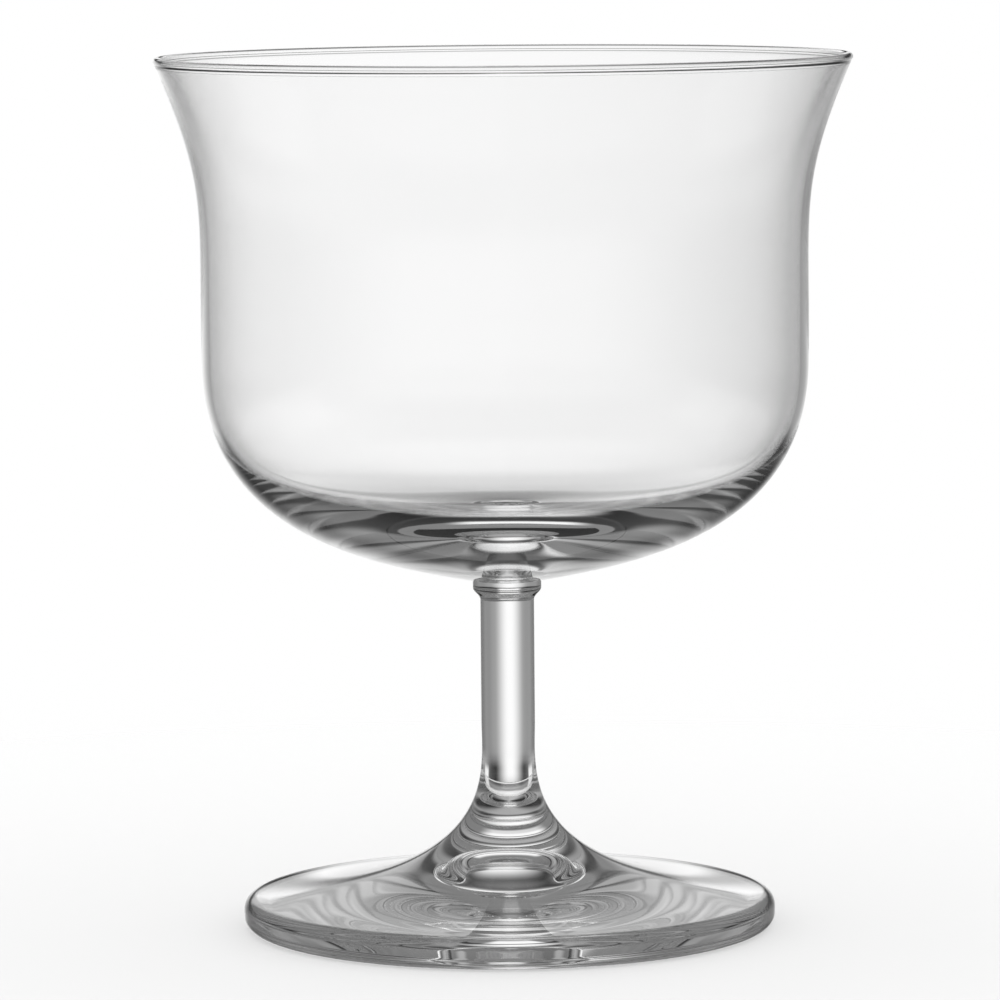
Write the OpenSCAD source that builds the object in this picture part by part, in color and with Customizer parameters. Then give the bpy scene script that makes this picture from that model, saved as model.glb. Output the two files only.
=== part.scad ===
// Stemmed cocktail glass of clear glass: a blown bowl with a flared, fire-polished lip, a collar at the
// bowl's weld, a drawn stem that flares into its own weld, and a pressed foot.
// The origin is the centre of the foot's underside, on the table. +Z runs up the stem. All sizes are in mm.
// Each piece is a turned profile. Profiles are lists of [radius, height] points along smooth curves.

/* [Bowl] */
// Height of the bowl alone, from its weld face to the top of the lip
bowl_h = 68; // [58:0.5:78]
// Outer diameter over the lip
lip_d = 90; // [84:0.5:96]
// Outer diameter of the body at the belly
body_d = 78.4; // [72:0.2:82]
// Height of the belly above the weld face
belly_h = 28.4; // [24:0.2:34]
// Thickness of the glass at the belly
body_wall = 1.1; // [0.9:0.1:2.4]
// Thickness of the glass on the axis, under the floor of the bowl
floor_t = 6.6; // [3.5:0.1:7.5]
// Diameter of the fire-polished bead round the lip
bead_d = 1; // [0.8:0.1:1.8]
// Angle at which the underside leaves the collar, up from level
under_angle = 12; // [8:0.2:18]
// Outward lean of the wall at the belly, from upright
belly_lean = 0.8; // [0:0.1:3]
// Outward lean of the wall just under the lip, from upright
lip_lean = 23.5; // [14:0.5:32]

/* [Collar] */
// Outer diameter of the ring of glass at the bowl's weld
collar_d = 8.9; // [8:0.1:11]
// Height of the collar, from the stem's top face to the bowl's weld face
collar_h = 2.5; // [1.8:0.1:4]

/* [Stem] */
// Diameter of the straight part of the stem
stem_d = 7; // [6:0.1:7.8]
// Length of the stem, from the foot's weld face to the collar
stem_l = 27.2; // [22:0.2:60]
// Length of the stem's flared lower end
flare_l = 11.5; // [8:0.5:16]

/* [Foot] */
// Diameter of the foot
foot_d = 69.2; // [62:0.2:76]
// Height of the foot, from the table to its weld face
foot_h = 15.5; // [13:0.1:19]
// Diameter of the weld between foot and stem
weld_d = 10.2; // [9:0.1:12]
// Slope of the cone at that weld, up from level
weld_slope = 62; // [54:1:72]
// Thickness of the foot at its edge
edge_t = 4.2; // [3:0.1:5]
// Radius that rounds both corners of the edge
edge_r = 1.7; // [0.8:0.1:1.9]
// Slope of the foot's top where it leaves the edge, up from level
top_slope = 3.8; // [2:0.1:8]
// Width of the flat ring that the glass rests on
rest_w = 1.5; // [0.8:0.1:4]
// Height of the punt, the deep hollow under the middle of the foot
punt_h = 6.5; // [4:0.1:8]
// Diameter of the punt at its mouth
punt_d = 16; // [14:0.2:20]
// Height that the shallow dish round the punt would reach on the axis
dish_h = 0.4; // [0.1:0.1:0.8]

/* [Hidden] */

// Faces round a full turn
$fn = 180;
// Steps along each curve and each rounded corner
curve_steps = 28;
corner_steps = 8;
// Clear glass, as it looks against white
GLASS = [0.80, 0.83, 0.85, 0.45];

// How far each curve runs straight out of its ends, as shares of the reach that it bridges
under_share = 0.39;
belly_drop_share = 0.785;
belly_rise_share = 0.51;
lip_share = 0.455;
floor_share = 0.66;
inner_drop_share = 0.84;
flare_low_share = 0.39;
flare_top_share = 0.28;
top_share = 0.65;
weld_share = 0.51;
cove_share = 0.35;
punt_top_share = 0.90;
punt_foot_share = 0.25;
// Height of the collar's cove, as a share of the collar's height
cove_h_share = 0.62;
// Angles on the bead at which the wall's outer and inner face meet it
BEAD_OUT = -48;
BEAD_IN = 228;

lip_r = lip_d / 2;
body_r = body_d / 2;
bead_r = bead_d / 2;
bead_at = [lip_r - bead_r, bowl_h - bead_r];
collar_r = collar_d / 2;
stem_r = stem_d / 2;
weld_r = weld_d / 2;
foot_r = foot_d / 2;
inner_r = body_r - body_wall;
// The corners are never rounder than half the edge
round_r = min(edge_r, edge_t / 2);
corner_at = foot_r - round_r;
rest_r = corner_at - rest_w;
// Heights of the welds above the table
stem_z = foot_h;
collar_z = stem_z + stem_l;
bowl_z = collar_z + collar_h;

// Unit vector at an angle up from +radius
function aim(a) = [cos(a), sin(a)];
// Point on a circle about c
function on_circle(c, r, a) = c + r * aim(a);
// Points of an arc about c, from angle a to angle b
function arc(c, r, a, b, n) = [for (i = [0 : n]) on_circle(c, r, a + (b - a) * i / n)];
// Point of a cubic curve with end points p and s and handles q and r
function cubic(p, q, r, s, t) =
    pow(1 - t, 3) * p + 3 * t * pow(1 - t, 2) * q + 3 * t * t * (1 - t) * r + pow(t, 3) * s;
// Points of the curve that leaves p at angle a for length la, and reaches s from length ls back at angle b
function curve(p, a, la, s, b, ls, n) =
    [for (i = [0 : n]) cubic(p, p + la * aim(a), s - ls * aim(b), s, i / n)];

// Outside of the bowl, from the weld face up to the bead
function bowl_outside() =
    let (
        weld = [collar_r, 0],
        belly = [body_r, belly_h],
        top = on_circle(bead_at, bead_r, BEAD_OUT),
        rise = top[1] - belly_h
    )
    concat(
        curve(weld, under_angle, under_share * (body_r - collar_r),
              belly, 90 - belly_lean, belly_drop_share * belly_h, curve_steps),
        curve(belly, 90 - belly_lean, belly_rise_share * rise,
              top, 90 - lip_lean, lip_share * rise, curve_steps)
    );

// Inside of the bowl, from the bead down to the floor on the axis
function bowl_inside() =
    let (
        top = on_circle(bead_at, bead_r, BEAD_IN),
        belly = [inner_r, belly_h],
        bottom = [0, floor_t],
        rise = top[1] - belly_h
    )
    concat(
        curve(top, -90 - lip_lean, lip_share * rise,
              belly, -90 - belly_lean, belly_rise_share * rise, curve_steps),
        curve(belly, -90 - belly_lean, inner_drop_share * (belly_h - floor_t),
              bottom, 180, floor_share * inner_r, curve_steps)
    );

module bowl() {
    color(GLASS)
        translate([0, 0, bowl_z])
            rotate_extrude()
                polygon(concat(
                    [[0, 0]],
                    bowl_outside(),
                    arc(bead_at, bead_r, BEAD_OUT, BEAD_IN, 3 * corner_steps),
                    bowl_inside()
                ));
}

// Ring of glass that joins the stem to the bowl: a cove that sweeps out to a straight rim
module collar() {
    cove_h = cove_h_share * collar_h;
    color(GLASS)
        translate([0, 0, collar_z])
            rotate_extrude()
                polygon(concat(
                    [[0, 0]],
                    curve([stem_r, 0], 90, cove_share * cove_h,
                          [collar_r, cove_h], 90, cove_share * cove_h, corner_steps),
                    [[collar_r, collar_h], [0, collar_h]]
                ));
}

// Solid stem, straight above and flared below to the width and slope of the foot's cone
module stem() {
    color(GLASS)
        translate([0, 0, stem_z])
            rotate_extrude()
                polygon(concat(
                    [[0, 0]],
                    curve([weld_r, 0], 180 - weld_slope, flare_low_share * flare_l,
                          [stem_r, flare_l], 90, flare_top_share * flare_l, curve_steps),
                    [[stem_r, stem_l], [0, stem_l]]
                ));
}

// Height of the shallow dish, which runs out to the ring that the foot rests on
function dish(r) = dish_h * (1 - pow(r / rest_r, 2));

// Underside of the foot from the axis outward: the punt, then the dish round it
function hollow() =
    let (
        punt_r = punt_d / 2,
        mouth = [punt_r, dish(punt_r)]
    )
    concat(
        curve([0, punt_h], 0, punt_top_share * punt_r,
              mouth, 0, punt_foot_share * punt_r, curve_steps),
        [for (i = [1 : curve_steps])
            let (r = punt_r + (rest_r - punt_r) * i / curve_steps)
            [r, dish(r)]]
    );

// Round foot that rises to a cone at its middle
module foot() {
    color(GLASS)
        rotate_extrude()
            polygon(concat(
                hollow(),
                arc([corner_at, round_r], round_r, -90, 0, corner_steps),
                arc([corner_at, edge_t - round_r], round_r, 0, 90, corner_steps),
                curve([corner_at, edge_t], 180 - top_slope, top_share * (corner_at - weld_r),
                      [weld_r, foot_h], 180 - weld_slope, weld_share * (foot_h - edge_t), curve_steps),
                [[0, foot_h]]
            ));
}

foot();
stem();
collar();
bowl();
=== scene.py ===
"""Looks of the stemmed cocktail glass: four turned pieces of clear glass in a bright-field studio.

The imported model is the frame. Its four nodes are replaced by finer turned meshes on the same profiles.
Lengths below are in mm, as in the part's source, and become metres where a mesh, a material or the camera
is made. Angles are in degrees.
"""

import math

import bpy
from mathutils import Matrix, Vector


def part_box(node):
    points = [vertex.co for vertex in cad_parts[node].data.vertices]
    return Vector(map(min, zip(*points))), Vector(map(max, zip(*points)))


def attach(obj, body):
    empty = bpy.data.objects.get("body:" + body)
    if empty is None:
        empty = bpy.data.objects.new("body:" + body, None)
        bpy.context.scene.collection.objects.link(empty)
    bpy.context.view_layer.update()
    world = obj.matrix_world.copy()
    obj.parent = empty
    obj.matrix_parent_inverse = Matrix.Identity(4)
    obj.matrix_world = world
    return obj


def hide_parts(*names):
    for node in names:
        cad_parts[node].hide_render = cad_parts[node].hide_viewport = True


MM = 0.001
WHITE = (1, 1, 1, 1)

# Sizes of the glass
BOWL_H = 68.0
LIP_D = 90.0
BODY_D = 78.4
BELLY_H = 28.4
BODY_WALL = 1.1
FLOOR_T = 6.6
BEAD_D = 1.0
UNDER_ANGLE = 12.0
BELLY_LEAN = 0.8
LIP_LEAN = 23.5
COLLAR_D = 8.9
COLLAR_H = 2.5
STEM_D = 7.0
STEM_L = 27.2
FLARE_L = 11.5
FOOT_D = 69.2
FOOT_H = 15.5
WELD_D = 10.2
WELD_SLOPE = 62.0
EDGE_T = 4.2
EDGE_R = 1.7
TOP_SLOPE = 3.8
REST_W = 1.5
DISH_H = 0.4
PUNT_H = 6.5
PUNT_D = 16.0

# How far each curve runs straight out of its ends, as shares of the reach that it bridges
UNDER_SHARE = 0.39
BELLY_DROP_SHARE = 0.785
BELLY_RISE_SHARE = 0.51
LIP_SHARE = 0.455
FLOOR_SHARE = 0.66
INNER_DROP_SHARE = 0.84
FLARE_LOW_SHARE = 0.39
FLARE_TOP_SHARE = 0.28
TOP_SHARE = 0.65
WELD_SHARE = 0.51
COVE_SHARE = 0.35
PUNT_TOP_SHARE = 0.90
PUNT_FOOT_SHARE = 0.25

# The cove's share of the collar's height, and where the lip's bead leaves the wall outside and inside
COVE_H_SHARE = 0.62
BEAD_OUT = -48.0
BEAD_IN = 228.0

# Fineness of the meshes, and what they count as a sharp edge and as a point on the axis
TURN_STEPS = 256
CURVE_STEPS = 72
STRAIGHT_STEPS = 4
BEAD_STEPS = 36
CORNER_STEPS = 14
SHARP_ANGLE = 35.0
ON_AXIS = 1e-6

# The glass, and the faint waves of its surface: about how many there are in a metre, how much finer detail
# is in them, how much of their tilt counts and how deep they are
GLASS_IOR = 1.52
WAVE_SCALE = 55.0
WAVE_DETAIL = 1.0
WAVE_STRENGTH = 0.06
WAVE_DEPTH = 0.2
# The weld's place among a piece's materials, after the glass
WELD_PLACE = 1

# The room, as shares of white by height: behind the glass, beside it and on the camera's side. A band has
# its lower edge, its upper edge and the half depth of both, and a low part has its edge and half depth.
# The sky starts and is full at its edge's two heights, and adds to the dark that is everywhere.
DARK = 0.02
BACK_LOW = 0.40
BACK_LOW_EDGE = (-41.0, 7.0)
BACK_MID = 0.35
BACK_MID_BAND = (-13.0, 0.0, 4.0)
BACK_SKY = 0.20
SIDE_MID = 0.35
SIDE_MID_BAND = (-45.0, -12.0, 5.0)
SIDE_SKY = 0.14
FRONT_LOW = 0.44
FRONT_LOW_EDGE = (-32.0, 5.0)
FRONT_MID = 0.35
FRONT_MID_BAND = (-11.0, 10.0, 4.0)
FRONT_SKY = 0.08
SKY_EDGE = (8.5, 11.0)
# How far round from straight behind the glass the back turns into the side, and the side into the front
BACK_TO_SIDE = (15.0, 70.0)
SIDE_TO_FRONT = (95.0, 150.0)
# How much brighter the room is on its left, and darker on its right, and how far round that is full
LEFT_GAIN = 0.10
GAIN_FULL = 90.0

# The panels. Each has its middle, to the right of straight behind the glass, how far to each side of that
# it is full and gone, and the height and half depth of its lower and its upper edge. The wings, the side
# windows and the corners stand on the left as well.
SWEEP = (-3.0, 1.3, 24.0, -29.0, 11.5, 4.2, 1.8)
WINDOW = (-3.0, 9.0, 17.0, 8.7, 2.0, 30.0, 11.0)
BEHIND_LEVEL = 1.05
WINGS = (57.0, 9.0, 28.0, -19.0, 3.0, 3.0, 3.0)
WING_LEVEL = 0.13
SIDE_WINDOWS = (80.0, 10.0, 24.0, 12.0, 2.5, 30.0, 2.5)
SIDE_WINDOW_LEVEL = 0.24
CORNERS = (45.0, 5.0, 10.0, -56.0, 4.0, -18.0, 3.0)

# Light that goes straight through meets white in the corners and in two more places. The ground is full
# and gone at these heights. The sides start and are full this far round. They are white at each eighth of
# the full turn, full and down to the gap's level at these distances from it.
GROUND = (-60.0, -50.0)
OPEN_SIDES = (76.0, 88.0)
EIGHTH = 45.0
GAP = (12.0, 20.0)
GAP_LEVEL = 0.45

HALF_TURN = 180.0
# A path that was never mirrored has a glossy depth below this
MIRRORED = 0.5
BOUNCES = 32

# The floor: its radius, how far it lies under the glass, how much of it shows near the glass, and from
# where to where that fades to nothing
FLOOR_R = 320.0
FLOOR_STEPS = 96
FLOOR_DROP = 0.1
FLOOR_LEVEL = 0.55
FLOOR_FADE_FROM = 60.0
FLOOR_FADE_TO = 300.0

# The camera, in mm and in the photograph's pixels
CAMERA_AWAY = 776.0
CAMERA_H = 137.0
AIM_H = 56.6
FOCAL_PX = 6023.0
FRAME_PX = 1000.0
CENTRE_X = 506.3
CENTRE_Y = 492.3
ROLL = -0.47
SENSOR = 36.0
NEAREST = 10.0


def toward(start, angle, length):
    """The point at a distance from start, at an angle up from +radius."""
    turn = math.radians(angle)
    return (start[0] + length * math.cos(turn), start[1] + length * math.sin(turn))


def arc(centre, radius, first, last, steps):
    """Points of an arc, from one angle to another."""
    return [toward(centre, first + (last - first) * i / steps, radius) for i in range(steps + 1)]


def curve(start, leave, reach, end, arrive, back, steps=CURVE_STEPS):
    """Points of a cubic curve, with the angle and the length of the handle at each of its ends."""
    points = (start, toward(start, leave, reach), toward(end, arrive, -back), end)
    out = []
    for i in range(steps + 1):
        t = i / steps
        weights = ((1 - t) ** 3, 3 * t * (1 - t) ** 2, 3 * t * t * (1 - t), t ** 3)
        out.append(tuple(sum(w * p[k] for w, p in zip(weights, points)) for k in range(2)))
    return out


def foot_profile():
    """From the axis under the foot, out over the rest and the edge, and up the cone to the weld."""
    corner = FOOT_D / 2 - EDGE_R
    rest = corner - REST_W
    punt = PUNT_D / 2
    weld = WELD_D / 2

    def dish(radius):
        return DISH_H * (1 - (radius / rest) ** 2)

    hollow = curve((0, PUNT_H), 0, PUNT_TOP_SHARE * punt, (punt, dish(punt)), 0, PUNT_FOOT_SHARE * punt)
    shallow = []
    for i in range(1, CURVE_STEPS + 1):
        radius = punt + (rest - punt) * i / CURVE_STEPS
        shallow.append((radius, dish(radius)))
    low = arc((corner, EDGE_R), EDGE_R, -90, 0, CORNER_STEPS)
    high = arc((corner, EDGE_T - EDGE_R), EDGE_R, 0, 90, CORNER_STEPS)
    cone = curve((corner, EDGE_T), 180 - TOP_SLOPE, TOP_SHARE * (corner - weld),
                 (weld, FOOT_H), 180 - WELD_SLOPE, WELD_SHARE * (FOOT_H - EDGE_T))
    return hollow + shallow + low + high + cone[1:]


def stem_profile(low):
    """From the weld with the foot up to the collar."""
    flare_top = low + FLARE_L
    flare = curve((WELD_D / 2, low), 180 - WELD_SLOPE, FLARE_LOW_SHARE * FLARE_L,
                  (STEM_D / 2, flare_top), 90, FLARE_TOP_SHARE * FLARE_L)
    straight = []
    for i in range(1, STRAIGHT_STEPS + 1):
        straight.append((STEM_D / 2, flare_top + (STEM_L - FLARE_L) * i / STRAIGHT_STEPS))
    return flare + straight


def collar_profile(low):
    """A cove that sweeps out from the stem to a straight rim."""
    cove = COVE_H_SHARE * COLLAR_H
    sweep = curve((STEM_D / 2, low), 90, COVE_SHARE * cove,
                  (COLLAR_D / 2, low + cove), 90, COVE_SHARE * cove, CORNER_STEPS)
    return sweep + [(COLLAR_D / 2, low + COLLAR_H)]


def bowl_profile(low):
    """From the weld up the outside, round the lip's bead and down the inside to the axis."""
    belly_z = low + BELLY_H
    bead = BEAD_D / 2
    centre = (LIP_D / 2 - bead, low + BOWL_H - bead)
    out_top = toward(centre, BEAD_OUT, bead)
    in_top = toward(centre, BEAD_IN, bead)
    body = BODY_D / 2
    inner = body - BODY_WALL
    under = curve((COLLAR_D / 2, low), UNDER_ANGLE, UNDER_SHARE * (body - COLLAR_D / 2),
                  (body, belly_z), 90 - BELLY_LEAN, BELLY_DROP_SHARE * BELLY_H)
    rise = out_top[1] - belly_z
    wall = curve((body, belly_z), 90 - BELLY_LEAN, BELLY_RISE_SHARE * rise,
                 out_top, 90 - LIP_LEAN, LIP_SHARE * rise)
    lip = arc(centre, bead, BEAD_OUT, BEAD_IN, BEAD_STEPS)
    fall = in_top[1] - belly_z
    inside = curve(in_top, -90 - LIP_LEAN, LIP_SHARE * fall,
                   (inner, belly_z), -90 - BELLY_LEAN, BELLY_RISE_SHARE * fall)
    depth = BELLY_H - FLOOR_T
    floor = curve((inner, belly_z), -90 - BELLY_LEAN, INNER_DROP_SHARE * depth,
                  (0, low + FLOOR_T), 180, FLOOR_SHARE * inner)
    return under + wall[1:] + lip[1:-1] + inside + floor[1:]


def turned(name, profile, glass, weld):
    """A closed solid turned from a profile. An end off the axis is closed by a flat weld face."""
    verts = []
    faces = []
    rings = []
    for radius, height in profile:
        first = len(verts)
        if radius < ON_AXIS:
            verts.append((0, 0, height * MM))
            rings.append([first])
            continue
        for i in range(TURN_STEPS):
            turn = 2 * math.pi * i / TURN_STEPS
            verts.append((radius * MM * math.cos(turn), radius * MM * math.sin(turn), height * MM))
        rings.append(list(range(first, len(verts))))
    for low, high in zip(rings, rings[1:]):
        for i in range(TURN_STEPS):
            j = (i + 1) % TURN_STEPS
            if len(low) == 1:
                faces.append((low[0], high[j], high[i]))
            elif len(high) == 1:
                faces.append((low[i], low[j], high[0]))
            else:
                faces.append((low[i], low[j], high[j], high[i]))
    sides = len(faces)
    if len(rings[0]) > 1:
        faces.append(tuple(reversed(rings[0])))
    if len(rings[-1]) > 1:
        faces.append(tuple(rings[-1]))
    mesh = bpy.data.meshes.new(name)
    mesh.from_pydata(verts, [], faces)
    mesh.materials.append(glass)
    mesh.materials.append(weld)
    for face in mesh.polygons[sides:]:
        face.material_index = WELD_PLACE
    mesh.shade_smooth()
    mesh.set_sharp_from_angle(angle=math.radians(SHARP_ANGLE))
    piece = bpy.data.objects.new(name, mesh)
    bpy.context.scene.collection.objects.link(piece)
    return piece


def new_material(name):
    """A new material, with its nodes and links."""
    material = bpy.data.materials.new(name)
    material.use_nodes = True
    return material, material.node_tree.nodes, material.node_tree.links


def math_node(nodes, links, operation, first, second=0.0, third=0.0):
    """A Math node. Each input is a number or a socket."""
    node = nodes.new("ShaderNodeMath")
    node.operation = operation
    for socket, value in zip(node.inputs, (first, second, third)):
        if isinstance(value, (int, float)):
            socket.default_value = value
        else:
            links.new(value, socket)
    return node.outputs[0]


def step_node(nodes, links, value, low, high, at_low=0.0, at_high=1.0):
    """A smooth step of a socket's value, from at_low to at_high."""
    node = nodes.new("ShaderNodeMapRange")
    node.interpolation_type = "SMOOTHSTEP"
    links.new(value, node.inputs["Value"])
    node.inputs["From Min"].default_value = low
    node.inputs["From Max"].default_value = high
    node.inputs["To Min"].default_value = at_low
    node.inputs["To Max"].default_value = at_high
    return node.outputs["Result"]


def glass_material():
    """Clear soda-lime glass, with the faint unevenness of blown and fire-polished glass."""
    material, nodes, links = new_material("clear_glass")
    shader = nodes["Principled BSDF"]
    shader.inputs["Base Color"].default_value = WHITE
    shader.inputs["Roughness"].default_value = 0.0
    shader.inputs["IOR"].default_value = GLASS_IOR
    shader.inputs["Transmission Weight"].default_value = 1.0
    place = nodes.new("ShaderNodeTexCoord")
    waves = nodes.new("ShaderNodeTexNoise")
    waves.inputs["Scale"].default_value = WAVE_SCALE
    waves.inputs["Detail"].default_value = WAVE_DETAIL
    bump = nodes.new("ShaderNodeBump")
    bump.inputs["Strength"].default_value = WAVE_STRENGTH
    bump.inputs["Distance"].default_value = WAVE_DEPTH * MM
    links.new(place.outputs["Object"], waves.inputs["Vector"])
    links.new(waves.outputs["Fac"], bump.inputs["Height"])
    links.new(bump.outputs["Normal"], shader.inputs["Normal"])
    return material


def weld_material():
    """Flame weld inside the glass, where the two pieces have flowed together and nothing shows."""
    material, nodes, links = new_material("flame_weld")
    nodes.remove(nodes["Principled BSDF"])
    clear = nodes.new("ShaderNodeBsdfTransparent")
    links.new(clear.outputs[0], nodes["Material Output"].inputs["Surface"])
    return material


def studio_world():
    """White to the camera. The glass sees a bright sweep straight behind it with a bright window above,
    and a dark gap between them. The room around these is darker, with a pale wing and a pale window on
    each side. Light that goes straight through to a corner, a side, the front or the ground meets white."""
    world = bpy.data.worlds.new("studio")
    bpy.context.scene.world = world
    world.use_nodes = True
    nodes = world.node_tree.nodes
    links = world.node_tree.links
    nodes.clear()

    def calc(*args):
        return math_node(nodes, links, *args)

    def step(*args):
        return step_node(nodes, links, *args)

    direction = nodes.new("ShaderNodeTexCoord")
    split = nodes.new("ShaderNodeSeparateXYZ")
    links.new(direction.outputs["Generated"], split.inputs[0])
    degrees = HALF_TURN / math.pi
    up = calc("MULTIPLY", calc("ARCSINE", split.outputs["Z"]), degrees)
    turn = calc("MULTIPLY", calc("ARCTAN2", split.outputs["X"], split.outputs["Y"]), degrees)
    away = calc("ABSOLUTE", turn)

    def between(low, low_fade, high, high_fade, level=1.0):
        rise = step(up, low - low_fade, low + low_fade, 0.0, level)
        return calc("MULTIPLY", rise, step(up, high - high_fade, high + high_fade, 1.0, 0.0))

    def band(level, low, high, fade):
        return between(low, fade, high, fade, level)

    def below(level, top, fade):
        return step(up, top - fade, top + fade, level, 0.0)

    def sky(level):
        return step(up, *SKY_EDGE, DARK, DARK + level)

    def off(around, middle, reach=HALF_TURN):
        return calc("ABSOLUTE", calc("WRAP", calc("SUBTRACT", around, middle), reach, -reach))

    def panel(around, middle, full, gone, *edges):
        return calc("MULTIPLY", step(off(around, middle), full, gone, 1.0, 0.0), between(*edges))

    def total(*levels):
        out = levels[0]
        for level in levels[1:]:
            out = calc("ADD", out, level)
        return out

    def blend(first, second, share):
        return calc("ADD", first, calc("MULTIPLY", calc("SUBTRACT", second, first), share))

    back = total(band(BACK_MID, *BACK_MID_BAND), below(BACK_LOW, *BACK_LOW_EDGE), sky(BACK_SKY))
    side = total(band(SIDE_MID, *SIDE_MID_BAND), sky(SIDE_SKY))
    front = total(band(FRONT_MID, *FRONT_MID_BAND), below(FRONT_LOW, *FRONT_LOW_EDGE), sky(FRONT_SKY))
    room = blend(back, blend(side, front, step(away, *SIDE_TO_FRONT)), step(away, *BACK_TO_SIDE))
    room = calc("MULTIPLY", room, step(turn, -GAIN_FULL, GAIN_FULL, 1 + LEFT_GAIN, 1 - LEFT_GAIN))
    wings = calc("MULTIPLY", panel(away, *WINGS), WING_LEVEL)
    windows = calc("MULTIPLY", panel(away, *SIDE_WINDOWS), SIDE_WINDOW_LEVEL)
    behind = calc("MAXIMUM", panel(turn, *SWEEP), panel(turn, *WINDOW))
    level = blend(total(room, wings, windows), BEHIND_LEVEL, behind)
    # Light that goes straight through meets white, so that the glass is clear from every side. Mirrored
    # light doesn't, so that no white streak stands in the wall
    path = nodes.new("ShaderNodeLightPath")
    direct = calc("LESS_THAN", path.outputs["Glossy Depth"], MIRRORED)
    ground = step(up, *GROUND, 1.0, 0.0)
    clear = calc("MAXIMUM", calc("MAXIMUM", step(away, *OPEN_SIDES), ground), panel(away, *CORNERS))
    white = calc("MAXIMUM", step(off(turn, 0.0, EIGHTH / 2), *GAP, 1.0, GAP_LEVEL), ground)
    level = blend(level, white, calc("MULTIPLY", clear, direct))
    plain = calc("MAXIMUM", path.outputs["Is Camera Ray"], path.outputs["Is Diffuse Ray"])
    background = nodes.new("ShaderNodeBackground")
    background.inputs["Color"].default_value = WHITE
    links.new(blend(level, 1.0, plain), background.inputs["Strength"])
    output = nodes.new("ShaderNodeOutputWorld")
    links.new(background.outputs[0], output.inputs["Surface"])
    # The world is sampled by the rays themselves, because it shows each kind of ray something else
    world.cycles.sampling_method = "NONE"


def light_paths():
    """Light is turned back many times inside thick glass, and every kind of bounce carries it."""
    cycles = bpy.context.scene.cycles
    cycles.max_bounces = BOUNCES
    cycles.transmission_bounces = BOUNCES
    cycles.glossy_bounces = BOUNCES
    cycles.transparent_max_bounces = BOUNCES


def floor_material():
    """Matt white to the camera, fading out into the white around it, and nothing to any other ray."""
    material, nodes, links = new_material("floor_white")
    shader = nodes["Principled BSDF"]
    shader.inputs["Base Color"].default_value = WHITE
    shader.inputs["Roughness"].default_value = 1.0
    shader.inputs["Specular IOR Level"].default_value = 0.0
    place = nodes.new("ShaderNodeTexCoord")
    length = nodes.new("ShaderNodeVectorMath")
    length.operation = "LENGTH"
    links.new(place.outputs["Object"], length.inputs[0])
    cover = step_node(nodes, links, length.outputs["Value"],
                      FLOOR_FADE_FROM * MM, FLOOR_FADE_TO * MM, FLOOR_LEVEL, 0.0)
    path = nodes.new("ShaderNodeLightPath")
    shown = math_node(nodes, links, "MULTIPLY", cover, path.outputs["Is Camera Ray"])
    clear = nodes.new("ShaderNodeBsdfTransparent")
    mix = nodes.new("ShaderNodeMixShader")
    links.new(shown, mix.inputs["Fac"])
    links.new(clear.outputs[0], mix.inputs[1])
    links.new(shader.outputs[0], mix.inputs[2])
    links.new(mix.outputs[0], nodes["Material Output"].inputs["Surface"])
    return material


def studio_floor():
    """A round white floor that keeps the glass's faint shadow."""
    verts = [(0, 0, 0)]
    for i in range(FLOOR_STEPS):
        turn = 2 * math.pi * i / FLOOR_STEPS
        verts.append((FLOOR_R * MM * math.cos(turn), FLOOR_R * MM * math.sin(turn), 0))
    faces = [(0, 1 + i, 1 + (i + 1) % FLOOR_STEPS) for i in range(FLOOR_STEPS)]
    mesh = bpy.data.meshes.new("studio_floor")
    mesh.from_pydata(verts, [], faces)
    mesh.materials.append(floor_material())
    floor = bpy.data.objects.new("studio_floor", mesh)
    floor.location.z = -FLOOR_DROP * MM
    bpy.context.scene.collection.objects.link(floor)


def place_camera():
    """A long lens a little above the glass, turned by a hair about its own view, as in the photograph."""
    data = bpy.data.cameras.new("camera")
    camera = bpy.data.objects.new("camera", data)
    bpy.context.scene.collection.objects.link(camera)
    data.sensor_width = SENSOR
    data.lens = FOCAL_PX / FRAME_PX * SENSOR
    data.shift_x = (FRAME_PX / 2 - CENTRE_X) / FRAME_PX
    data.shift_y = (CENTRE_Y - FRAME_PX / 2) / FRAME_PX
    data.clip_start = NEAREST * MM
    down = math.atan2(CAMERA_H - AIM_H, CAMERA_AWAY)
    place = Matrix.Translation((0, -CAMERA_AWAY * MM, CAMERA_H * MM))
    tilt = Matrix.Rotation(math.pi / 2 - down, 4, "X")
    roll = Matrix.Rotation(math.radians(ROLL), 4, "Z")
    camera.matrix_world = place @ tilt @ roll
    bpy.context.scene.camera = camera


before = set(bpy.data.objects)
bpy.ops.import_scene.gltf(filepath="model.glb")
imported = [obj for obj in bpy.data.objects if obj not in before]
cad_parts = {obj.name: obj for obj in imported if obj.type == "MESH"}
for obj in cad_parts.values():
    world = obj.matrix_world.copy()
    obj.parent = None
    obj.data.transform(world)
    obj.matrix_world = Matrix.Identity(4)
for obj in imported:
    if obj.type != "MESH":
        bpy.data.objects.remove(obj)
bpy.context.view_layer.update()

clear_glass = glass_material()
flame_weld = weld_material()
stem_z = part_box("stem")[0].z / MM
collar_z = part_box("collar")[0].z / MM
bowl_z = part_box("bowl")[0].z / MM
profiles = {
    "foot": foot_profile(),
    "stem": stem_profile(stem_z),
    "collar": collar_profile(collar_z),
    "bowl": bowl_profile(bowl_z),
}
for node, profile in profiles.items():
    piece = turned("glass_" + node, profile, clear_glass, flame_weld)
    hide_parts(node)
    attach(piece, "root")

studio_world()
light_paths()
studio_floor()
place_camera()
bpy.context.scene.view_settings.view_transform = "Standard"

bpy.context.view_layer.update()
